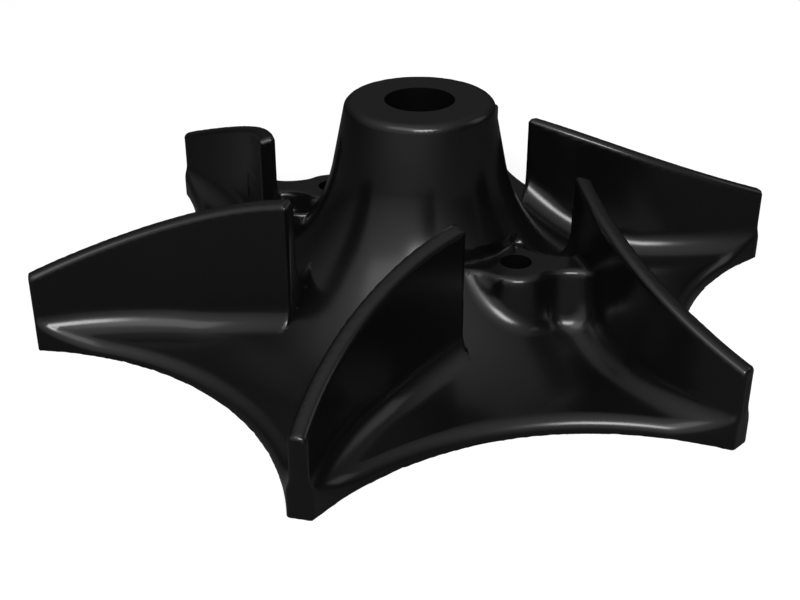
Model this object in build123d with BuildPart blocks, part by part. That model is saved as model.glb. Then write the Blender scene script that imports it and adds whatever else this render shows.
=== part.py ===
import os
from math import asin, atan2, cos, degrees, hypot, radians, sin, sqrt, tan

from build123d import *

# Moulded pump impeller, all in millimetres.
# The origin is the middle of the bore on the flat back face, and +Z points to the hub's nose.
# The two screw holes lie on the X axis, on the same rays as the tips of two of the vanes.

# Hub: a drafted cone that flares into the back plate through one large round
hub_height = 50.5
hub_top_radius = 16.9
hub_draft = 11.5
hub_edge_round = 2.0
bore_radius = 8.0
flare_radius = 40.0

# Back plate: a flat disc with a round scallop cut out between each two vane tips
outer_radius = 90.0
plate_thickness = 3.5
plate_flat = 4.55
tip_margin = 0.6
rim_wall = 0.3

# Vanes: swept round one circular arc, with tops that lie on a shallow cone
vane_count = 6
vane_thickness = 3.8
vane_arc_radius = 85.4
vane_inner_radius = 37.9
vane_sweep = 27.3
vane_inner_height = 36.8
vane_tip_height = 18.1
vane_edge_bevel = 0.7
root_round = 6.0

# Screw bosses: two, each tied to its vane by a short arm, with a flat seat cut into the flare
boss_count = 2
boss_circle_radius = 30.1
boss_wall = 4.7
boss_height = 20.2
boss_neck_round = 3.0
boss_root_round = 2.5
screw_hole_radius = 3.5
arm_shoulder = 0.6
arm_setback = 10.6
seat_reach = 5.5

# What follows from these: the bosses and their seats are set out from the screw holes, and the rim's round
# leaves a thin wall at the back face
vane_pitch = 360 / vane_count
half_pitch = vane_pitch / 2
boss_radius = screw_hole_radius + boss_wall
arm_width = boss_radius - arm_shoulder
seat_wall_radius = boss_circle_radius - seat_reach
rim_round = plate_thickness - rim_wall
far = 2 * outer_radius

# The flare's arc is tangent to the hub's cone and to the top of the plate
draft_slope = tan(radians(hub_draft))
flare_centre_z = plate_thickness + flare_radius
flare_top_z = flare_centre_z - flare_radius * sin(radians(hub_draft))
flare_top_r = hub_top_radius + draft_slope * (hub_height - flare_top_z)
flare_centre_r = flare_top_r + flare_radius * cos(radians(hub_draft))


def floor_height(r):
    """Height of the hub's cone, the flare or the plate's top at the radius r."""
    if r >= flare_centre_r:
        return plate_thickness
    if r >= flare_top_r:
        return flare_centre_z - sqrt(flare_radius**2 - (flare_centre_r - r) ** 2)
    return hub_height - (r - hub_top_radius) / draft_slope


def radius_of(point):
    return hypot(point.X, point.Y)


# The centre of the vane's arc, worked out from its two ends and its radius
vane_inner_end = Vector(vane_inner_radius * cos(radians(vane_sweep)), vane_inner_radius * sin(radians(vane_sweep)))
vane_tip = Vector(outer_radius, 0)
chord = vane_tip - vane_inner_end
chord_normal = Vector(-chord.Y, chord.X) / chord.length
vane_arc_centre = (vane_inner_end + vane_tip) / 2 + chord_normal * sqrt(vane_arc_radius**2 - chord.length**2 / 4)
to_inner_end = vane_inner_end - vane_arc_centre
to_tip = vane_tip - vane_arc_centre
vane_start_angle = degrees(atan2(to_inner_end.Y, to_inner_end.X))
vane_arc_span = degrees(atan2(to_tip.Y, to_tip.X)) - vane_start_angle
vane_overrun = 14.0
vane_end_round = 0.95 * vane_thickness / 2

# The arm of a boss runs from the middle of its screw hole to the middle of the vane, a little way along it
hole_centre = Vector(boss_circle_radius, 0)
setback_angle = radians(vane_start_angle) + arm_setback / vane_arc_radius
arm_end = vane_arc_centre + Vector(vane_arc_radius * cos(setback_angle), vane_arc_radius * sin(setback_angle))
arm = arm_end - hole_centre
arm_angle = degrees(atan2(arm.Y, arm.X))

# Hub and plate turned as one, wider than the finished part so that the vanes' root rounds run out cleanly
blank_radius = outer_radius + 12
with BuildPart() as blank:
    with BuildSketch(Plane.XZ) as profile:
        with BuildLine():
            Polyline((0, hub_height), (0, 0), (blank_radius, 0), (blank_radius, plate_thickness),
                     (flare_centre_r, plate_thickness))
            CenterArc((flare_centre_r, flare_centre_z), flare_radius, 270, hub_draft - 90)
            Polyline((flare_top_r, flare_top_z), (hub_top_radius, hub_height), (0, hub_height))
        make_face()
        by_nose = profile.vertices().sort_by(lambda corner: hypot(corner.X - hub_top_radius, corner.Y - hub_height))
        fillet(by_nose[0], hub_edge_round)
    revolve(axis=Axis.Z)

vane_top_slope = (vane_inner_height - vane_tip_height) / (outer_radius - vane_inner_radius)


def vane_top_height(r):
    return vane_inner_height - vane_top_slope * (r - vane_inner_radius)


# One vane: the arc given its thickness, its inner end rounded, its top cut to the cone
with BuildPart() as vane:
    with BuildSketch():
        with BuildLine():
            CenterArc(vane_arc_centre, vane_arc_radius, vane_start_angle, vane_arc_span + vane_overrun)
        trace(line_width=vane_thickness)
    extrude(amount=hub_height)
    inner_corners = vane.edges().filter_by(Axis.Z).sort_by(lambda edge: radius_of(edge @ 0.5))[:2]
    fillet(inner_corners, vane_end_round)
    with BuildSketch(Plane.XZ):
        with BuildLine():
            Polyline((0, vane_top_height(0)), (far, vane_top_height(far)), (far, far), (0, far), close=True)
        make_face()
    revolve(axis=Axis.Z, mode=Mode.SUBTRACT)

# One boss with its arm, up to its seat, with the two corners between them rounded
with BuildPart() as boss:
    with BuildSketch() as boss_outline:
        with Locations((boss_circle_radius, 0)):
            Circle(boss_radius)
        with Locations(Location((boss_circle_radius, 0, 0), (0, 0, arm_angle))):
            Rectangle(arm.length, arm_width, align=(Align.MIN, Align.CENTER))
        corners = boss_outline.vertices().sort_by(lambda corner: (Vector(*corner) - arm_end).length)
        fillet(corners[2:4], boss_neck_round)
    extrude(amount=boss_height)

# The tool that cuts the flat seat into the flare, as far in as the seat's round wall
with BuildPart() as seat:
    with BuildSketch(Plane.XY.offset(boss_height)):
        with Locations((boss_circle_radius, 0)):
            Circle(boss_radius)
        Circle(seat_wall_radius, mode=Mode.SUBTRACT)
    extrude(amount=hub_height)

turned_vanes = [vane.part.rotate(Axis.Z, vane_pitch * number) for number in range(vane_count)]
turned_bosses = [boss.part.rotate(Axis.Z, 360 / boss_count * number) for number in range(boss_count)]


def lies_on(edge, solids, shares=(0.1, 0.5, 0.9)):
    """True if the edge runs along the walls of one of the solids."""
    return all(min(solid.distance_to(edge @ share) for solid in solids) < 0.01 for share in shares)


def is_vane_root(edge):
    middle = edge @ 0.5
    reach = radius_of(middle)
    if reach < hub_top_radius or reach > blank_radius - 0.1:
        return False
    return abs(middle.Z - floor_height(reach)) < 0.05 and lies_on(edge, turned_vanes, (0.5,))


def is_boss_foot(edge):
    """True for the edges round the foot of a boss on its outer side, as far as the arm's corner with the vane."""
    middle = edge @ 0.5
    if middle.Z > boss_height - 0.05 or not lies_on(edge, turned_bosses):
        return False
    if edge.geom_type == GeomType.LINE and not lies_on(edge, turned_vanes):
        return False
    turned = middle if middle.X > 0 else middle.rotate(Axis.Z, 180)
    return arm.cross(turned - hole_centre).Z < 0 or turned.Y < arm_width / 2


# A scallop is one arc through its root, just outside the flare, and through the corners of the tips beside it.
# A tip is a little wider than the vane that stands on it.
scallop_root_radius = flare_centre_r + plate_flat
tip_half_angle = degrees(asin((vane_thickness / 2 + tip_margin) / outer_radius))
tip_corner_reach = outer_radius * cos(radians(half_pitch - tip_half_angle))
scallop_centre = (outer_radius**2 - scallop_root_radius**2) / (2 * (tip_corner_reach - scallop_root_radius))
scallop_radius = scallop_centre - scallop_root_radius


def on_scallop(point):
    """True if a point is on the wall of one of the scallops."""
    bearing = degrees(atan2(point.Y, point.X)) % vane_pitch - half_pitch
    away = hypot(radius_of(point) * cos(radians(bearing)) - scallop_centre, radius_of(point) * sin(radians(bearing)))
    return abs(away - scallop_radius) < 0.02


def is_vane_top(edge):
    """True for the edges that bound the tops of the vanes, which lie on the shallow cone."""
    points = [edge @ share for share in (0.1, 0.5, 0.9)]
    return all(abs(point.Z - vane_top_height(radius_of(point))) < 0.02 for point in points)


def is_upper_rim(edge):
    return edge.geom_type != GeomType.LINE and (edge @ 0.5).Z > 1 and on_scallop(edge @ 0.5) and on_scallop(edge @ 0.25)


# The whole piece: the vanes' roots are rounded first, then the bosses come in
with BuildPart() as impeller:
    add(blank.part)
    with PolarLocations(0, vane_count):
        add(vane.part)
    fillet([edge for edge in impeller.edges() if is_vane_root(edge)], root_round)
    with PolarLocations(0, boss_count):
        add(boss.part)
    fillet([edge for edge in impeller.edges() if is_boss_foot(edge)], boss_root_round)
    with PolarLocations(0, boss_count):
        add(seat.part, mode=Mode.SUBTRACT)
    with BuildSketch():
        Circle(outer_radius)
        with PolarLocations(scallop_centre, vane_count, start_angle=half_pitch):
            Circle(scallop_radius, mode=Mode.SUBTRACT)
    extrude(amount=hub_height, mode=Mode.INTERSECT)
    fillet([edge for edge in impeller.edges() if is_upper_rim(edge)], rim_round)
    chamfer([edge for edge in impeller.edges() if is_vane_top(edge)], vane_edge_bevel)
    with BuildSketch():
        Circle(bore_radius)
        with PolarLocations(boss_circle_radius, boss_count):
            Circle(screw_hole_radius)
    extrude(amount=hub_height, mode=Mode.SUBTRACT)

impeller.part.label = "impeller"
os.makedirs("parts", exist_ok=True)
export_step(impeller.part, "parts/impeller.step")
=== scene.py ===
from math import cos, hypot, radians, sin, sqrt, tan

import bpy
import numpy as np
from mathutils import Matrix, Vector


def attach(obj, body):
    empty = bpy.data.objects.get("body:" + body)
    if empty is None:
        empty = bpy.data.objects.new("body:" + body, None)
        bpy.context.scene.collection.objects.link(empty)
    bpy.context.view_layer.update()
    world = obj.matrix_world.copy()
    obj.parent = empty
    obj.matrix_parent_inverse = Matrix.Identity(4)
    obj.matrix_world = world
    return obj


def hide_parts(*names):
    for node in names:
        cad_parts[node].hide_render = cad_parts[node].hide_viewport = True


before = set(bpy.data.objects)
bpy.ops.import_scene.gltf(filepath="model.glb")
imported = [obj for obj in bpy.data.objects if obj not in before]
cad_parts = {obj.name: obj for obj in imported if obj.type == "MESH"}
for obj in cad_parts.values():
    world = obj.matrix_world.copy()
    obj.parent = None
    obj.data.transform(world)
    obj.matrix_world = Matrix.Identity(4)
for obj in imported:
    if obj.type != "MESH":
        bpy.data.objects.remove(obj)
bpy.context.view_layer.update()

# Camera
# It stands where the photograph was taken from, about thirty degrees above the floor, and looks down at the
# foot of the hub. The two screw holes lie on the X axis.
camera_spot = Vector((0.19247, -0.19994, 0.14965))
camera_aim = Vector((0.0, -0.00627, 0.00140))
camera_data = bpy.data.cameras.new("photo_camera")
camera_data.sensor_width = 36
camera_data.lens = 58.12
camera = bpy.data.objects.new("photo_camera", camera_data)
bpy.context.scene.collection.objects.link(camera)
camera.location = camera_spot
camera.rotation_euler = (camera_aim - camera_spot).to_track_quat("-Z", "Y").to_euler()
bpy.context.scene.camera = camera

# Impeller
# One piece of glossy black rubber, moulded in a single shot: a bored hub that flares into a thin star-shaped
# plate, six swept vanes, and two drilled bosses that each lean on a vane by a short arm.
# It is described as a solid. Each surface is a field that gives the distance to it and the way it faces, and
# where two of them meet a ball rolls along the corner, as the cutter of the mould does.
mm = 0.001
hub_height = 50.5 * mm
hub_top_radius = 16.9 * mm
hub_draft = radians(11.5)
hub_edge_round = 2.0 * mm
bore_radius = 8.0 * mm
flare_radius = 40.0 * mm
outer_radius = 90.0 * mm
plate_thickness = 3.5 * mm
scallop_radius = 67.0 * mm
scallop_root_radius = 63.7 * mm
rim_round = 3.2 * mm
tip_round = 1.0 * mm
up = np.array([0.0, 0.0, 1.0])


def joined(one, other, rounding):
    """Two solids as one, with a hollow round of the given radius in the corner between them."""
    lean = np.clip((one[1] * other[1]).sum(axis=1), -0.995, 0.995)
    into_one = rounding - one[0]
    into_other = rounding - other[0]
    by_one = into_one - lean * into_other
    by_other = into_other - lean * into_one
    in_corner = (by_one > 0) & (by_other > 0)
    spread = 1 - lean * lean
    reach = np.sqrt(np.maximum((by_one * into_one + by_other * into_other) / spread, 1e-18))
    slope = (by_one[:, None] * one[1] + by_other[:, None] * other[1]) / (spread * reach)[:, None]
    nearer = one[0] < other[0]
    distance = np.where(in_corner, rounding - reach, np.where(nearer, one[0], other[0]))
    facing = np.where(in_corner[:, None], slope, np.where(nearer[:, None], one[1], other[1]))
    return distance, facing / np.maximum(np.linalg.norm(facing, axis=1), 1e-9)[:, None]


def trimmed(one, other, rounding):
    """What two solids share, with a round of the given radius on the edge between them."""
    distance, facing = joined((-one[0], -one[1]), (-other[0], -other[1]), rounding)
    return -distance, -facing


def chosen(first, one, other):
    return np.where(first, one[0], other[0]), np.where(first[:, None], one[1], other[1])


def either(one, other):
    """Two solids as one, with a sharp corner."""
    return chosen(one[0] < other[0], one, other)


def shared(one, other):
    """What two solids share, with a sharp edge."""
    return chosen(one[0] > other[0], one, other)


def level(points, height):
    """The space below a height."""
    return points[:, 2] - height, np.tile(up, (len(points), 1))


def around(points, x, y):
    """The distance from an upright axis, and the way out from it."""
    away = points - np.array([x, y, 0.0])
    away[:, 2] = 0
    length = np.maximum(np.linalg.norm(away, axis=1), 1e-9)
    return length, away / length[:, None]


def turned(spot, angle):
    x, y = spot
    return np.array([x * cos(angle) - y * sin(angle), x * sin(angle) + y * cos(angle)])


# Floor of the impeller: the drafted cone of the hub, one large hollow round, and the top of the plate
flare_z = plate_thickness + flare_radius
flare_top_z = flare_z - flare_radius * sin(hub_draft)
flare_top_r = hub_top_radius + tan(hub_draft) * (hub_height - flare_top_z)
flare_r = flare_top_r + flare_radius * cos(hub_draft)


def floor_field(points):
    r, outward = around(points, 0, 0)
    beside = r - flare_r
    above = points[:, 2] - flare_z
    away = np.maximum(np.hypot(beside, above), 1e-9)
    flare = (flare_radius - away, -(beside[:, None] * outward + above[:, None] * up) / away[:, None])
    cone_distance = (r - hub_top_radius) * cos(hub_draft) + (points[:, 2] - hub_height) * sin(hub_draft)
    cone = (cone_distance, cos(hub_draft) * outward + sin(hub_draft) * up)
    on_cone = cos(hub_draft) * above > sin(hub_draft) * beside
    return chosen(beside > 0, level(points, plate_thickness), chosen(on_cone, cone, flare))


# Vanes: six, swept back along one arc, with tops that lie on a shallow cone and small rounds on their edges
vane_count = 6
vane_thickness = 3.8 * mm
vane_arc_radius = 85.4 * mm
vane_inner_radius = 37.9 * mm
vane_sweep = radians(27.3)
vane_inner_height = 36.8 * mm
vane_tip_height = 18.1 * mm
vane_end_round = 0.9 * mm
vane_edge_round = 1.4 * mm
root_round = 6.0 * mm
vane_inner_end = turned((vane_inner_radius, 0), vane_sweep)
vane_tip = np.array([outer_radius, 0])
half_chord = (vane_tip - vane_inner_end) / 2
chord_normal = np.array([-half_chord[1], half_chord[0]]) / hypot(*half_chord)
chord_depth = sqrt(vane_arc_radius**2 - half_chord @ half_chord)
vane_centre = vane_inner_end + half_chord + chord_normal * chord_depth
vane_heading = turned(vane_inner_end - vane_centre, radians(90)) / vane_arc_radius
vane_fall = (vane_inner_height - vane_tip_height) / (outer_radius - vane_inner_radius)
vane_lean = 1 / sqrt(1 + vane_fall**2)


def vane_fields(points, angle, floor):
    """One vane on its own, and the same vane standing on the floor. The root rounds run along its two sides
    and stop at its inner end, which is cut off square."""
    centre = turned(vane_centre, angle)
    heading = np.append(turned(vane_heading, angle), 0)
    away, outward = around(points, *centre)
    side = np.where(away > vane_arc_radius, 1.0, -1.0)
    walls = (np.abs(away - vane_arc_radius) - vane_thickness / 2, side[:, None] * outward)
    inner_end = ((np.append(centre, 0) - points) @ heading, np.tile(-heading, (len(points), 1)))
    r, from_axis = around(points, 0, 0)
    over_top = points[:, 2] - vane_inner_height + vane_fall * (r - vane_inner_radius)
    top = (over_top * vane_lean, (vane_fall * from_axis + up) * vane_lean)
    vane = trimmed(trimmed(walls, inner_end, vane_end_round), top, vane_edge_round)
    rooted = joined(floor, trimmed(walls, top, vane_edge_round), root_round)
    rooted = trimmed(rooted, inner_end, vane_end_round)
    return vane, shared(rooted, trimmed(inner_end, top, vane_edge_round))


# Bosses: two, opposite each other, each with a screw hole, an arm to its vane and a flat seat in the flare
boss_count = 2
boss_circle_radius = 30.1 * mm
boss_radius = 8.2 * mm
boss_height = 20.2 * mm
boss_draft = radians(10)
boss_edge_round = 1.8 * mm
boss_root_round = 5.0 * mm
boss_far_round = 1.2 * mm
boss_spare_height = 3.0 * mm
boss_reach = 26.0 * mm
screw_hole_radius = 3.5 * mm
arm_width = 7.6 * mm
arm_angle = radians(43.9)
arm_length = 16.0 * mm
arm_neck_round = 5.6 * mm
seat_wall_radius = 24.6 * mm
seat_wall_foot_round = 0.4 * mm
seat_wall_top_round = 0.8 * mm
seat_vane_round = 1.0 * mm
seat_end_angle = radians(-26)
seat_end_round = 2.0 * mm
seat_far_gap = 1.3 * mm
seat_far_round = 0.8 * mm
seat_far_edge_round = 0.3 * mm
far_side_start = 4.0 * mm


def rising(values, start, stop):
    """A share that goes evenly from none at the start to all at the stop."""
    return np.clip((values - start) / (stop - start), 0, 1)


def boss_outline(points, angle):
    """The distance in plan from the edge of a boss with its arm, and the way out from it."""
    hole = turned((boss_circle_radius, 0), angle)
    away, outward = around(points, *hole)
    along = np.append(turned((1, 0), angle + arm_angle), 0)
    across = np.append(turned((0, 1), angle + arm_angle), 0)
    from_hole = points - np.append(hole, 0)
    forward = from_hole @ along
    sideways = from_hole @ across
    flanks = (np.abs(sideways) - arm_width / 2, np.sign(sideways)[:, None] * across)
    far_half = forward > arm_length / 2
    ends = (np.maximum(-forward, forward - arm_length), np.where(far_half[:, None], along, -along))
    return joined((away - boss_radius, outward), shared(flanks, ends), arm_neck_round)


def with_boss(points, body, vanes, angle):
    """The body with one boss raised on it and trimmed to its seat. The foot has a large round on the open
    side and a small one on the far side, in the pocket between the boss, its arm and the hub."""
    outline = boss_outline(points, angle)
    widening = (boss_height - points[:, 2]) * sin(boss_draft)
    walls = (outline[0] * cos(boss_draft) - widening, cos(boss_draft) * outline[1] + sin(boss_draft) * up)
    column = shared(walls, level(points, boss_height + boss_spare_height))
    across = np.append(turned((0, 1), angle + arm_angle), 0)
    sideways = (points - np.append(turned((boss_circle_radius, 0), angle), 0)) @ across
    far_side = rising(sideways, 0.5 * mm, 3.5 * mm)
    foot_round = boss_root_round + far_side * (boss_far_round - boss_root_round)
    r, outward = around(points, 0, 0)
    raised = chosen(r > seat_wall_radius, joined(body, column, foot_round), body)

    # What the seat leaves standing: all that is below it, the hub inside its round wall, the vanes, and the
    # flare beyond its two ends
    end_facing = np.append(turned((0, -1), angle + seat_end_angle), 0)
    seat_end = (-(points @ end_facing), np.tile(-end_facing, (len(points), 1)))
    beyond = (seat_far_gap - outline[0], -outline[1])
    beyond = shared(beyond, (far_side_start - sideways, np.tile(-across, (len(points), 1))))
    beside = joined((r - seat_wall_radius, outward), beyond, seat_far_round)
    left_over = joined(level(points, boss_height), beside, seat_wall_foot_round)
    left_over = joined(left_over, seat_end, seat_end_round)
    left_over = joined(left_over, vanes, seat_vane_round)
    from_wall = rising(r - seat_wall_radius, 0.9 * mm, 2.9 * mm)
    edge_round = seat_wall_top_round + from_wall * (boss_edge_round - seat_wall_top_round)
    at_far_end = far_side * rising(outline[0], 0.2 * mm, 0.8 * mm)
    edge_round = edge_round + at_far_end * (seat_far_edge_round - edge_round)
    cut = trimmed(raised, left_over, edge_round)
    near_seat = (seat_end[0] > -boss_edge_round) & (points[:, 2] > boss_height - boss_edge_round)
    return chosen(near_seat, cut, raised)


def impeller_field(points):
    """The distance from each point to the surface of the whole piece, negative inside, and the way out."""
    r, outward = around(points, 0, 0)
    floor = floor_field(points)
    vanes = (np.full(len(points), outer_radius), outward)
    body = floor
    for number in range(vane_count):
        vane, rooted = vane_fields(points, radians(360 / vane_count * number), floor)
        vanes = either(vanes, vane)
        body = either(body, rooted)
    for number in range(boss_count):
        angle = radians(360 / boss_count * number)
        near = np.flatnonzero(around(points, *turned((boss_circle_radius, 0), angle))[0] < boss_reach)
        if len(near):
            nearby = [tuple(values[near] for values in field) for field in (body, vanes)]
            body[0][near], body[1][near] = with_boss(points[near], *nearby, angle)
    body = trimmed(body, level(points, hub_height), hub_edge_round)
    star = (np.full(len(points), -outer_radius), outward)
    for number in range(vane_count):
        between_vanes = radians(360 / vane_count * (number + 0.5))
        away, from_scallop = around(points, *turned((scallop_root_radius + scallop_radius, 0), between_vanes))
        star = shared(star, (scallop_radius - away, -from_scallop))
    body = trimmed(trimmed(body, star, rim_round), (r - outer_radius, outward), tip_round)
    body = shared(body, (-points[:, 2], np.tile(-up, (len(points), 1))))
    body = shared(body, (bore_radius - r, -outward))
    for number in range(boss_count):
        away, from_hole = around(points, *turned((boss_circle_radius, 0), radians(360 / boss_count * number)))
        body = shared(body, (screw_hole_radius - away, -from_hole))
    return body


# Half of the piece is meshed, the half with one boss and three vanes. A grid of small cells is laid over it.
# Each cell that the surface passes through gets one point on the surface, and each crossed grid line gets one
# face. The grid is set off so that no layer of it lies in the flat back face.
cell = 0.85 * mm
grid_offset = np.array([0.5, -0.5, -1.37])
columns = int(outer_radius / cell) + 3
rows = int(outer_radius * cos(radians(30)) / cell) + 6
layers = int(hub_height / cell) + 4
grid_size = np.array([2 * columns, rows, layers])
grid_start = (grid_offset - np.array([columns, 0, 0])) * cell
plan_lines = [grid_start[k] + cell * np.arange(grid_size[k]) for k in (0, 1)]
plan_x, plan_y = np.meshgrid(*plan_lines, indexing="ij")
depth = np.empty(grid_size)
for layer in range(layers):
    heights = np.full(plan_x.size, grid_start[2] + cell * layer)
    plan = np.stack([plan_x.ravel(), plan_y.ravel(), heights], axis=1)
    depth[:, :, layer] = impeller_field(plan)[0].reshape(plan_x.shape)


def crossings(axis):
    """The grid lines along one axis that the surface crosses, with each crossing's spot and facing."""
    stop = grid_size - np.eye(3, dtype=int)[axis]
    begin = depth[: stop[0], : stop[1], : stop[2]]
    end = np.roll(depth, -1, axis)[: stop[0], : stop[1], : stop[2]]
    lines = np.argwhere((begin < 0) != (end < 0))
    first = begin[tuple(lines.T)]
    share = first / (first - end[tuple(lines.T)])
    low = np.zeros(len(lines))
    high = np.ones(len(lines))
    line_start = grid_start + cell * lines
    line = cell * np.eye(3)[axis]
    for _ in range(3):
        distance, facing = impeller_field(line_start + share[:, None] * line)
        before = (distance < 0) == (first < 0)
        low = np.where(before, share, low)
        high = np.where(before, high, share)
        climb = facing[:, axis] * cell
        guess = share - distance / np.where(np.abs(climb) > 1e-7, climb, 1e-7)
        share = np.where((guess > low) & (guess < high), guess, (low + high) / 2)
    spots = line_start + share[:, None] * line
    return lines, first < 0, spots, impeller_field(spots)[1]


def cells_beside(lines, axis):
    """The four cells round each grid line, in turn, as plain numbers."""
    across = [k for k in range(3) if k != axis]
    ring = []
    for back in ((1, 1), (0, 1), (0, 0), (1, 0)):
        beside = lines.copy()
        beside[:, across] -= back
        ring.append(np.ravel_multi_index(tuple((beside + 1).T), grid_size + 1))
    return np.stack(ring, axis=1)


faces = []
cell_numbers = []
cell_spots = []
cell_facings = []
for axis in range(3):
    lines, leaving, spots, facings = crossings(axis)
    ring = cells_beside(lines, axis)
    cell_numbers.append(ring.ravel())
    cell_spots.append(np.repeat(spots, 4, axis=0))
    cell_facings.append(np.repeat(facings, 4, axis=0))
    forward = leaving != (axis == 1)
    in_half = lines[:, 1] > 0 if axis != 1 else (lines[:, 1] > 0) | (spots[:, 0] > 0)
    faces.append(np.where(forward[:, None], ring, ring[:, ::-1])[in_half])
faces = np.concatenate(faces)
cell_spots = np.concatenate(cell_spots)
cell_facings = np.concatenate(cell_facings)
used, owner = np.unique(np.concatenate(cell_numbers), return_inverse=True)
shares = np.bincount(owner)[:, None]


def gathered(values):
    return np.bincount(owner, values)


# A cell's point is where the planes through its crossings meet, so edges and corners stay crisp. A weak pull
# to the middle of the crossings keeps it steady on flat parts, and it stays within its cell or just outside.
middle_pull = 0.02
overshoot = 0.1 * cell
middles = np.stack([gathered(cell_spots[:, k]) for k in range(3)], axis=1) / shares
offsets = (cell_facings * (cell_spots - middles[owner])).sum(axis=1)
pull = np.empty((len(used), 3, 3))
push = np.empty((len(used), 3, 1))
for i in range(3):
    push[:, i, 0] = gathered(cell_facings[:, i] * offsets)
    for j in range(3):
        pull[:, i, j] = gathered(cell_facings[:, i] * cell_facings[:, j])
pull += middle_pull * shares[:, :, None] * np.eye(3)
corners = (np.stack(np.unravel_index(used, grid_size + 1), axis=1) - 1) * cell + grid_start
points = middles + np.linalg.solve(pull, push)[:, :, 0]
points = np.clip(points, corners - overshoot, corners + cell + overshoot)
faces = np.searchsorted(used, faces)
kept, faces = np.unique(faces, return_inverse=True)
half_mesh = bpy.data.meshes.new("impeller_half")
half_mesh.from_pydata(points[kept], [], faces.reshape(-1, 4))
impeller = bpy.data.objects.new("impeller_rubber", half_mesh)
bpy.context.scene.collection.objects.link(impeller)

# Rubber: black, glossy from the polished mould, with the faint cloudiness and pores of a moulded skin
rubber = bpy.data.materials.new("black_rubber")
rubber.use_nodes = True
nodes = rubber.node_tree.nodes
links = rubber.node_tree.links
skin = nodes["Principled BSDF"]
skin.inputs["IOR"].default_value = 1.5
place = nodes.new("ShaderNodeTexCoord")
clouds = nodes.new("ShaderNodeTexNoise")
clouds.inputs["Scale"].default_value = 45
clouds.inputs["Detail"].default_value = 4
links.new(place.outputs["Object"], clouds.inputs["Vector"])
gloss = nodes.new("ShaderNodeMapRange")
gloss.inputs["From Min"].default_value = 0.3
gloss.inputs["From Max"].default_value = 0.7
gloss.inputs["To Min"].default_value = 0.19
gloss.inputs["To Max"].default_value = 0.24
links.new(clouds.outputs["Fac"], gloss.inputs["Value"])
links.new(gloss.outputs["Result"], skin.inputs["Roughness"])
tone = nodes.new("ShaderNodeValToRGB")
tone.color_ramp.elements[0].color = (0.0025, 0.0025, 0.0026, 1)
tone.color_ramp.elements[1].color = (0.0038, 0.0038, 0.0040, 1)
links.new(clouds.outputs["Fac"], tone.inputs["Fac"])
links.new(tone.outputs["Color"], skin.inputs["Base Color"])
pores = nodes.new("ShaderNodeTexNoise")
pores.inputs["Scale"].default_value = 1600
pores.inputs["Detail"].default_value = 3
links.new(place.outputs["Object"], pores.inputs["Vector"])
grain = nodes.new("ShaderNodeBump")
grain.inputs["Strength"].default_value = 0.05
grain.inputs["Distance"].default_value = 0.05 * mm
links.new(pores.outputs["Fac"], grain.inputs["Height"])
links.new(grain.outputs["Normal"], skin.inputs["Normal"])

# The half is turned round the bore as often as there are bosses, and the seams are closed
turning = bpy.data.node_groups.new("turned_halves", "GeometryNodeTree")
turning.interface.new_socket("Half", in_out="INPUT", socket_type="NodeSocketGeometry")
copies = turning.interface.new_socket("Copies", in_out="INPUT", socket_type="NodeSocketInt")
seam = turning.interface.new_socket("Seam", in_out="INPUT", socket_type="NodeSocketFloat")
finish = turning.interface.new_socket("Finish", in_out="INPUT", socket_type="NodeSocketMaterial")
turning.interface.new_socket("Impeller", in_out="OUTPUT", socket_type="NodeSocketGeometry")
given = turning.nodes.new("NodeGroupInput")
result = turning.nodes.new("NodeGroupOutput")
stations = turning.nodes.new("GeometryNodePoints")
station = turning.nodes.new("GeometryNodeInputIndex")
share_of_turn = turning.nodes.new("ShaderNodeMath")
share_of_turn.operation = "DIVIDE"
turn = turning.nodes.new("ShaderNodeMath")
turn.operation = "MULTIPLY"
turn.inputs[1].default_value = radians(360)
about_axis = turning.nodes.new("ShaderNodeCombineXYZ")
placed = turning.nodes.new("GeometryNodeInstanceOnPoints")
real = turning.nodes.new("GeometryNodeRealizeInstances")
closed = turning.nodes.new("GeometryNodeMergeByDistance")
finished = turning.nodes.new("GeometryNodeSetMaterial")
turning.links.new(given.outputs["Copies"], stations.inputs["Count"])
turning.links.new(station.outputs["Index"], share_of_turn.inputs[0])
turning.links.new(given.outputs["Copies"], share_of_turn.inputs[1])
turning.links.new(share_of_turn.outputs[0], turn.inputs[0])
turning.links.new(turn.outputs[0], about_axis.inputs["Z"])
turning.links.new(stations.outputs["Points"], placed.inputs["Points"])
turning.links.new(given.outputs["Half"], placed.inputs["Instance"])
turning.links.new(about_axis.outputs["Vector"], placed.inputs["Rotation"])
turning.links.new(placed.outputs["Instances"], real.inputs["Geometry"])
turning.links.new(real.outputs["Geometry"], closed.inputs["Geometry"])
turning.links.new(given.outputs["Seam"], closed.inputs["Distance"])
turning.links.new(closed.outputs["Geometry"], finished.inputs["Geometry"])
turning.links.new(given.outputs["Finish"], finished.inputs["Material"])
turning.links.new(finished.outputs["Geometry"], result.inputs["Impeller"])
modifier = impeller.modifiers.new("turned_halves", "NODES")
modifier.node_group = turning
modifier[copies.identifier] = boss_count
modifier[seam.identifier] = 0.001 * mm
modifier[finish.identifier] = rubber
whole = bpy.data.meshes.new_from_object(impeller.evaluated_get(bpy.context.evaluated_depsgraph_get()))
impeller.modifiers.remove(modifier)
impeller.data = whole

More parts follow.
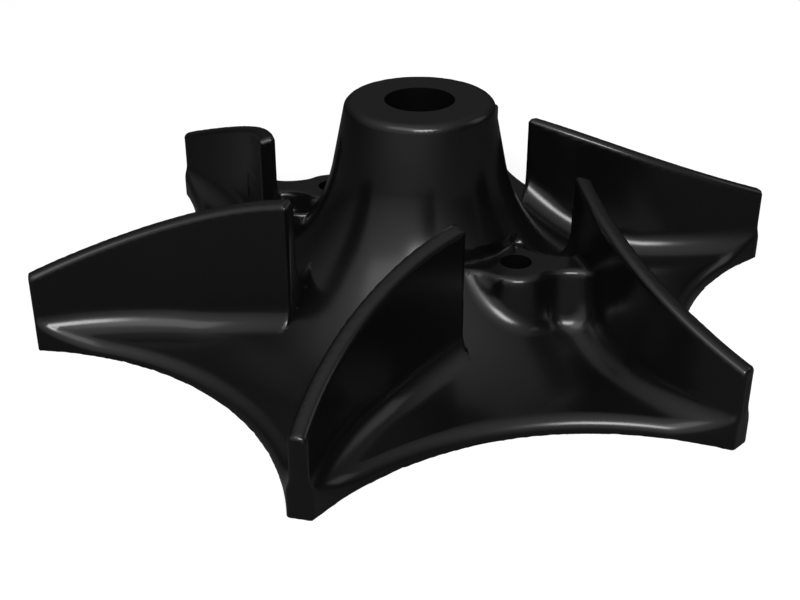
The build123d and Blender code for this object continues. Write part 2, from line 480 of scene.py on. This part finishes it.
# The shading follows the true surface rather than the facets, and stays crisp at the sharp edges
crisp_angle = radians(24)
corner_inset = 0.3
whole.shade_smooth()
corner_of = np.empty(len(whole.loops), int)
whole.loops.foreach_get("vertex_index", corner_of)
spots = np.empty(3 * len(whole.vertices))
whole.vertices.foreach_get("co", spots)
spots = spots.reshape(-1, 3)
quads = spots[corner_of].reshape(-1, 4, 3)
inward = quads + corner_inset * (quads.mean(axis=1)[:, None, :] - quads)
on_face = impeller_field(inward.reshape(-1, 3))[1]
at_point = impeller_field(spots)[1][corner_of]
crisp = (on_face * at_point).sum(axis=1) < cos(crisp_angle)
whole.normals_split_custom_set(np.where(crisp[:, None], on_face, at_point))
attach(impeller, "root")
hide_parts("impeller")

# Floor
# A plain pale sweep of card that fills the photograph's view. It is white where it is seen straight, and
# keeps the shadow. The rubber in the photograph mirrors a dark surface, so it gets only a small share of the
# white. Where the card is mirrored or throws light back, its colour carries a painted falloff: it is painted
# lighter on the side of the bright soft box and darker on the far side.
floor_half = 8.0
mirrored_share = 0.015
lamp_side = (0.776, -0.631, 0.0)
floor_mesh = bpy.data.meshes.new("floor")
floor_corners = [(x * floor_half, y * floor_half, 0) for x, y in ((-1, -1), (1, -1), (1, 1), (-1, 1))]
floor_mesh.from_pydata(floor_corners, [], [(0, 1, 2, 3)])
floor = bpy.data.objects.new("floor", floor_mesh)
bpy.context.scene.collection.objects.link(floor)
card = bpy.data.materials.new("pale_card")
card.use_nodes = True
card_nodes = card.node_tree.nodes
card_links = card.node_tree.links
card_nodes.clear()
card_out = card_nodes.new("ShaderNodeOutputMaterial")
seen_card = card_nodes.new("ShaderNodeEmission")
seen_card.inputs["Strength"].default_value = 0.72
shaded_card = card_nodes.new("ShaderNodeBsdfDiffuse")
shaded_card.inputs["Color"].default_value = (0.42, 0.42, 0.42, 1)
# The card as it is mirrored and as it throws light back. Its colour holds a painted falloff of light.
card_with_painted_falloff = card_nodes.new("ShaderNodeBsdfDiffuse")
floor_place = card_nodes.new("ShaderNodeTexCoord")
toward_lamp = card_nodes.new("ShaderNodeVectorMath")
toward_lamp.operation = "DOT_PRODUCT"
toward_lamp.inputs[1].default_value = lamp_side
# Painted falloff: the card's colour is painted lighter toward the bright soft box and darker away from it.
painted_falloff = card_nodes.new("ShaderNodeMapRange")
painted_falloff.inputs["From Min"].default_value = -0.25
painted_falloff.inputs["From Max"].default_value = 0.35
painted_falloff.inputs["To Min"].default_value = 0.01
painted_falloff.inputs["To Max"].default_value = 0.2
card_links.new(floor_place.outputs["Object"], toward_lamp.inputs[0])
card_links.new(toward_lamp.outputs["Value"], painted_falloff.inputs["Value"])
card_links.new(painted_falloff.outputs["Result"], card_with_painted_falloff.inputs["Color"])
seen = card_nodes.new("ShaderNodeAddShader")
ray = card_nodes.new("ShaderNodeLightPath")
by_ray = card_nodes.new("ShaderNodeMixShader")
card_links.new(seen_card.outputs[0], seen.inputs[0])
card_links.new(shaded_card.outputs[0], seen.inputs[1])
mirrored = card_nodes.new("ShaderNodeMath")
mirrored.operation = "MULTIPLY_ADD"
mirrored.inputs[1].default_value = mirrored_share
through = card_nodes.new("ShaderNodeMath")
through.operation = "ADD"
through.use_clamp = True
card_links.new(ray.outputs["Is Glossy Ray"], mirrored.inputs[0])
card_links.new(ray.outputs["Is Camera Ray"], mirrored.inputs[2])
card_links.new(mirrored.outputs[0], through.inputs[0])
card_links.new(ray.outputs["Is Transmission Ray"], through.inputs[1])
card_links.new(through.outputs[0], by_ray.inputs["Fac"])
card_links.new(card_with_painted_falloff.outputs[0], by_ray.inputs[1])
card_links.new(seen.outputs[0], by_ray.inputs[2])
card_links.new(by_ray.outputs[0], card_out.inputs["Surface"])
floor_mesh.materials.append(card)

# Lights
# A bright soft box above the camera, two large dim ones to its left and right, and a dim room that is
# brightest on the left and darkest behind the piece. Bearings are counted from the way the photograph looks.
view_turn = radians(133.9)


def soft_box(name, bearing, height, away, width, depth, strength):
    """An area lamp that faces the impeller. Its strength is how bright it looks, whatever its size."""
    lamp_data = bpy.data.lights.new(name, "AREA")
    lamp_data.shape = "RECTANGLE"
    lamp_data.size = width
    lamp_data.size_y = depth
    lamp_data.energy = strength * radians(180) * width * depth
    lamp = bpy.data.objects.new(name, lamp_data)
    bpy.context.scene.collection.objects.link(lamp)
    heading = view_turn + radians(bearing)
    level_part = away * cos(radians(height))
    lamp.location = (level_part * cos(heading), level_part * sin(heading), away * sin(radians(height)))
    lamp.rotation_euler = (-lamp.location).to_track_quat("-Z", "Y").to_euler()


soft_box("main_box", bearing=187, height=39, away=0.9, width=0.38, depth=0.2, strength=15)
soft_box("wide_box", bearing=148, height=50, away=1.0, width=0.6, depth=0.5, strength=1.4)
soft_box("side_box", bearing=284, height=30, away=1.0, width=0.45, depth=0.45, strength=0.6)
world = bpy.data.worlds.new("studio")
world.use_nodes = True
bpy.context.scene.world = world
room_nodes = world.node_tree.nodes
room_links = world.node_tree.links
room = room_nodes["Background"]
direction = room_nodes.new("ShaderNodeTexCoord")
bright_heading = view_turn + radians(155)
bright_height = radians(42)
bright_level = cos(bright_height)
bright_side = (bright_level * cos(bright_heading), bright_level * sin(bright_heading), sin(bright_height))
toward_bright = room_nodes.new("ShaderNodeVectorMath")
toward_bright.operation = "DOT_PRODUCT"
toward_bright.inputs[1].default_value = bright_side
facing_bright = room_nodes.new("ShaderNodeMath")
facing_bright.operation = "MAXIMUM"
facing_bright.inputs[1].default_value = 0
falling_off = room_nodes.new("ShaderNodeMath")
falling_off.operation = "POWER"
falling_off.inputs[1].default_value = 2
brightness = room_nodes.new("ShaderNodeMath")
brightness.operation = "MULTIPLY_ADD"
brightness.inputs[1].default_value = 0.75
height_part = room_nodes.new("ShaderNodeSeparateXYZ")
ceiling = room_nodes.new("ShaderNodeMath")
ceiling.operation = "POWER"
ceiling.inputs[1].default_value = 2
ceiling_light = room_nodes.new("ShaderNodeMath")
ceiling_light.operation = "MULTIPLY_ADD"
ceiling_light.inputs[1].default_value = 0.3
ceiling_light.inputs[2].default_value = 0.035
room_links.new(direction.outputs["Generated"], height_part.inputs[0])
room_links.new(height_part.outputs["Z"], ceiling.inputs[0])
room_links.new(ceiling.outputs[0], ceiling_light.inputs[0])
room_links.new(ceiling_light.outputs[0], brightness.inputs[2])
room_links.new(direction.outputs["Generated"], toward_bright.inputs[0])
room_links.new(toward_bright.outputs["Value"], facing_bright.inputs[0])
room_links.new(facing_bright.outputs[0], falling_off.inputs[0])
room_links.new(falling_off.outputs[0], brightness.inputs[0])
room_links.new(brightness.outputs[0], room.inputs["Strength"])
room.inputs["Color"].default_value = (1, 1, 1, 1)
bpy.context.scene.view_settings.view_transform = "Standard"
